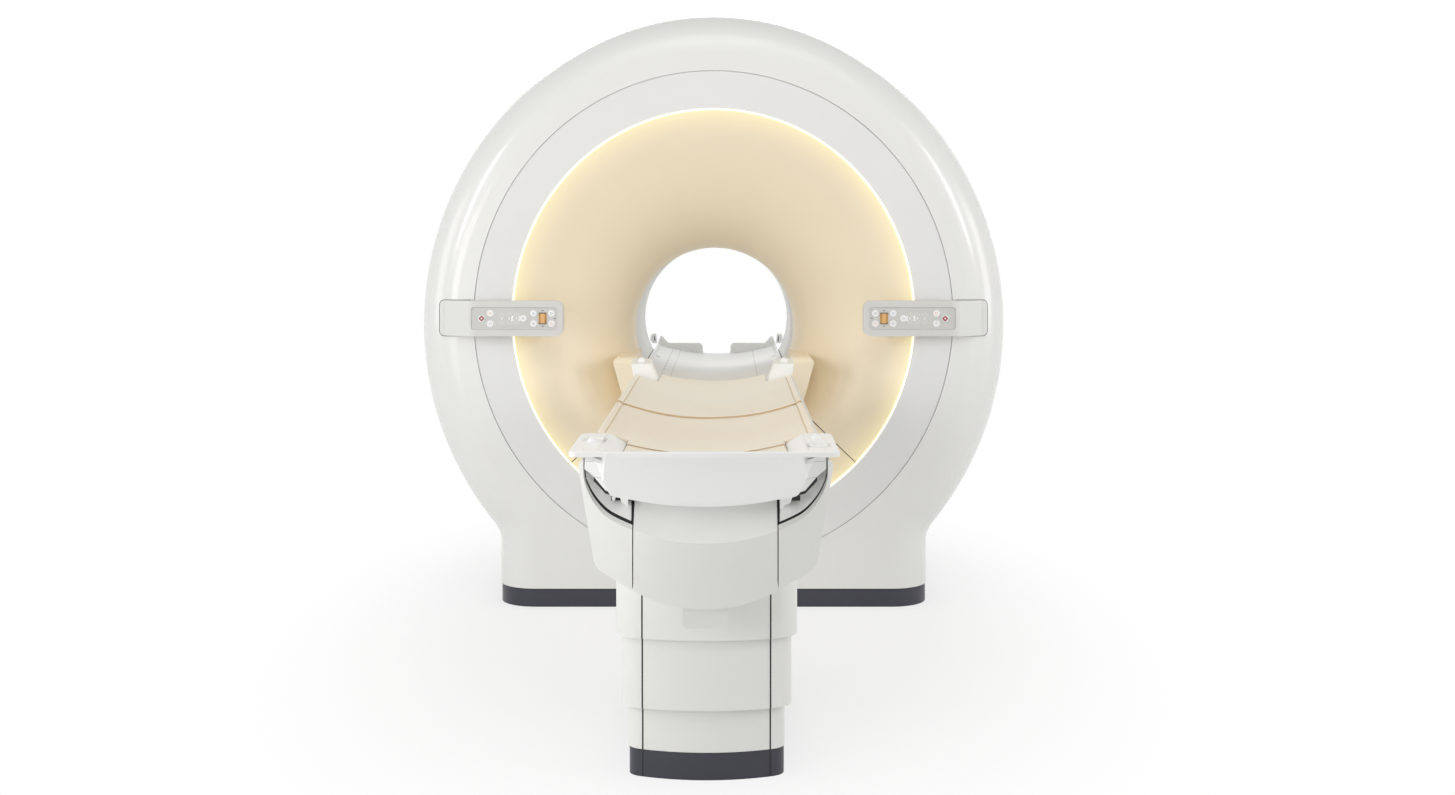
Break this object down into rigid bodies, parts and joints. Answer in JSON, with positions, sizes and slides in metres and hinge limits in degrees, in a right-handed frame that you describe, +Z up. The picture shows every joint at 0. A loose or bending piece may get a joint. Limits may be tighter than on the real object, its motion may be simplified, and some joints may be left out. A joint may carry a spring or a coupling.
{
  "type": "mri scanner",
  "caption": "Ring-shaped whole-body magnetic resonance scanner with a flared lit bore, control panels and a patient table that lifts and slides in.",
  "frame": {"origin": "on the floor under the middle of the magnet's length and width", "axes": "+Z up, +Y along the bore from the patient table into the magnet, +X to the right seen from the table end"},
  "size_m": [2.424, 4.32, 2.439],
  "materials": {
    "cover_gloss": "high gloss paint",
    "ring_matte": "matte",
    "light_strip": "translucent",
    "funnel_beige": "satin",
    "liner_grey": "satin",
    "skirt_dark": "satin",
    "frame_dark": "powder coat",
    "vessel_steel": "brushed",
    "coil_resin": "cast resin",
    "guide_alloy": "machined",
    "bridge_grey": "satin",
    "panel_white": "satin",
    "keypad_grey": "matte",
    "button_grey": "satin",
    "button_stop": "satin",
    "toggle_amber": "satin",
    "column_white": "satin",
    "head_white": "satin",
    "beam_white": "satin",
    "board_white": "satin",
    "cap_white": "gloss",
    "pad_beige": "coated cloth"
  },
  "bodies": {
    "magnet": {"front_cover": "cover_gloss", "left_side_cover": "cover_gloss", "right_side_cover": "cover_gloss", "rear_cover": "cover_gloss", "front_ring_panel": "ring_matte", "light_ring": "light_strip", "funnel_cover": "funnel_beige", "lower_funnel_cover": "funnel_beige", "bore_liner": "liner_grey", "base_skirt": "skirt_dark", "base_frame": "frame_dark", "cryostat": "vessel_steel", "gradient_coil": "coil_resin", "cold_head": "vessel_steel", "bore_bridge": "bridge_grey", "left_panel_housing": "panel_white", "right_panel_housing": "panel_white", "left_keypad": "keypad_grey", "right_keypad": "keypad_grey", "pedestal_skirt": "skirt_dark", "pedestal_shell": "column_white", "pedestal_front": "column_white", "floor_channel": "column_white", "lift_mast": "guide_alloy"},
    "column_middle": {"middle_shell": "column_white", "middle_front": "column_white", "middle_guide": "guide_alloy"},
    "table_head": {"upper_shell": "column_white", "upper_front": "column_white", "lift_ram": "guide_alloy", "support_beam": "beam_white", "head_front_panel": "head_white", "left_wing": "head_white", "right_wing": "head_white", "left_saddle": "head_white", "right_saddle": "head_white"},
    "tabletop": {"tabletop_shell": "board_white", "end_cap": "cap_white", "head_mattress": "pad_beige", "foot_mattress": "pad_beige", "left_socket_block": "cap_white", "right_socket_block": "cap_white"},
    "left_outer_upper_button": {"left_outer_upper_button": "button_grey"},
    "left_outer_lower_button": {"left_outer_lower_button": "button_grey"},
    "left_middle_button": {"left_middle_button": "button_grey"},
    "left_near_upper_button": {"left_near_upper_button": "button_grey"},
    "left_near_lower_button": {"left_near_lower_button": "button_grey"},
    "left_far_upper_button": {"left_far_upper_button": "button_grey"},
    "left_far_lower_button": {"left_far_lower_button": "button_grey"},
    "left_stop_button": {"left_stop_button": "button_stop"},
    "left_toggle": {"left_toggle": "toggle_amber"},
    "right_outer_upper_button": {"right_outer_upper_button": "button_grey"},
    "right_outer_lower_button": {"right_outer_lower_button": "button_grey"},
    "right_middle_button": {"right_middle_button": "button_grey"},
    "right_near_upper_button": {"right_near_upper_button": "button_grey"},
    "right_near_lower_button": {"right_near_lower_button": "button_grey"},
    "right_far_upper_button": {"right_far_upper_button": "button_grey"},
    "right_far_lower_button": {"right_far_lower_button": "button_grey"},
    "right_stop_button": {"right_stop_button": "button_stop"},
    "right_toggle": {"right_toggle": "toggle_amber"}
  },
  "joints": [
    {"name": "table_lift", "type": "slide", "parent": "magnet", "child": "table_head", "axis": [0, 0, 1], "range_m": [-0.38, 0]},
    {"name": "column_middle_lift", "type": "slide", "parent": "magnet", "child": "column_middle", "axis": [0, 0, 1], "range_m": [-0.19, 0]},
    {"name": "tabletop_slide", "type": "slide", "parent": "table_head", "child": "tabletop", "axis": [0, 1, 0], "range_m": [0, 1.8]},
    {"name": "left_outer_upper_button_press", "type": "slide", "parent": "magnet", "child": "left_outer_upper_button", "axis": [0, 1, 0], "range_m": [0, 0.0015], "stiffness_N_per_m": 800},
    {"name": "left_outer_lower_button_press", "type": "slide", "parent": "magnet", "child": "left_outer_lower_button", "axis": [0, 1, 0], "range_m": [0, 0.0015], "stiffness_N_per_m": 800},
    {"name": "left_middle_button_press", "type": "slide", "parent": "magnet", "child": "left_middle_button", "axis": [0, 1, 0], "range_m": [0, 0.0015], "stiffness_N_per_m": 800},
    {"name": "left_near_upper_button_press", "type": "slide", "parent": "magnet", "child": "left_near_upper_button", "axis": [0, 1, 0], "range_m": [0, 0.0015], "stiffness_N_per_m": 800},
    {"name": "left_near_lower_button_press", "type": "slide", "parent": "magnet", "child": "left_near_lower_button", "axis": [0, 1, 0], "range_m": [0, 0.0015], "stiffness_N_per_m": 800},
    {"name": "left_far_upper_button_press", "type": "slide", "parent": "magnet", "child": "left_far_upper_button", "axis": [0, 1, 0], "range_m": [0, 0.0015], "stiffness_N_per_m": 800},
    {"name": "left_far_lower_button_press", "type": "slide", "parent": "magnet", "child": "left_far_lower_button", "axis": [0, 1, 0], "range_m": [0, 0.0015], "stiffness_N_per_m": 800},
    {"name": "left_stop_button_press", "type": "slide", "parent": "magnet", "child": "left_stop_button", "axis": [0, 1, 0], "range_m": [0, 0.004], "stiffness_N_per_m": 1500},
    {"name": "left_toggle_rock", "type": "hinge", "parent": "magnet", "child": "left_toggle", "pos_m": [-0.695, -0.903, 1.183], "axis": [1, 0, 0], "range_deg": [-12, 12], "stiffness_Nm_per_rad": 0.4},
    {"name": "right_outer_upper_button_press", "type": "slide", "parent": "magnet", "child": "right_outer_upper_button", "axis": [0, 1, 0], "range_m": [0, 0.0015], "stiffness_N_per_m": 800},
    {"name": "right_outer_lower_button_press", "type": "slide", "parent": "magnet", "child": "right_outer_lower_button", "axis": [0, 1, 0], "range_m": [0, 0.0015], "stiffness_N_per_m": 800},
    {"name": "right_middle_button_press", "type": "slide", "parent": "magnet", "child": "right_middle_button", "axis": [0, 1, 0], "range_m": [0, 0.0015], "stiffness_N_per_m": 800},
    {"name": "right_near_upper_button_press", "type": "slide", "parent": "magnet", "child": "right_near_upper_button", "axis": [0, 1, 0], "range_m": [0, 0.0015], "stiffness_N_per_m": 800},
    {"name": "right_near_lower_button_press", "type": "slide", "parent": "magnet", "child": "right_near_lower_button", "axis": [0, 1, 0], "range_m": [0, 0.0015], "stiffness_N_per_m": 800},
    {"name": "right_far_upper_button_press", "type": "slide", "parent": "magnet", "child": "right_far_upper_button", "axis": [0, 1, 0], "range_m": [0, 0.0015], "stiffness_N_per_m": 800},
    {"name": "right_far_lower_button_press", "type": "slide", "parent": "magnet", "child": "right_far_lower_button", "axis": [0, 1, 0], "range_m": [0, 0.0015], "stiffness_N_per_m": 800},
    {"name": "right_stop_button_press", "type": "slide", "parent": "magnet", "child": "right_stop_button", "axis": [0, 1, 0], "range_m": [0, 0.004], "stiffness_N_per_m": 1500},
    {"name": "right_toggle_rock", "type": "hinge", "parent": "magnet", "child": "right_toggle", "pos_m": [0.695, -0.903, 1.183], "axis": [1, 0, 0], "range_deg": [-12, 12], "stiffness_Nm_per_rad": 0.4}
  ],
  "couplings": [
    {"joint": "column_middle_lift", "follows": "table_lift", "ratio": 0.5}
  ]
}
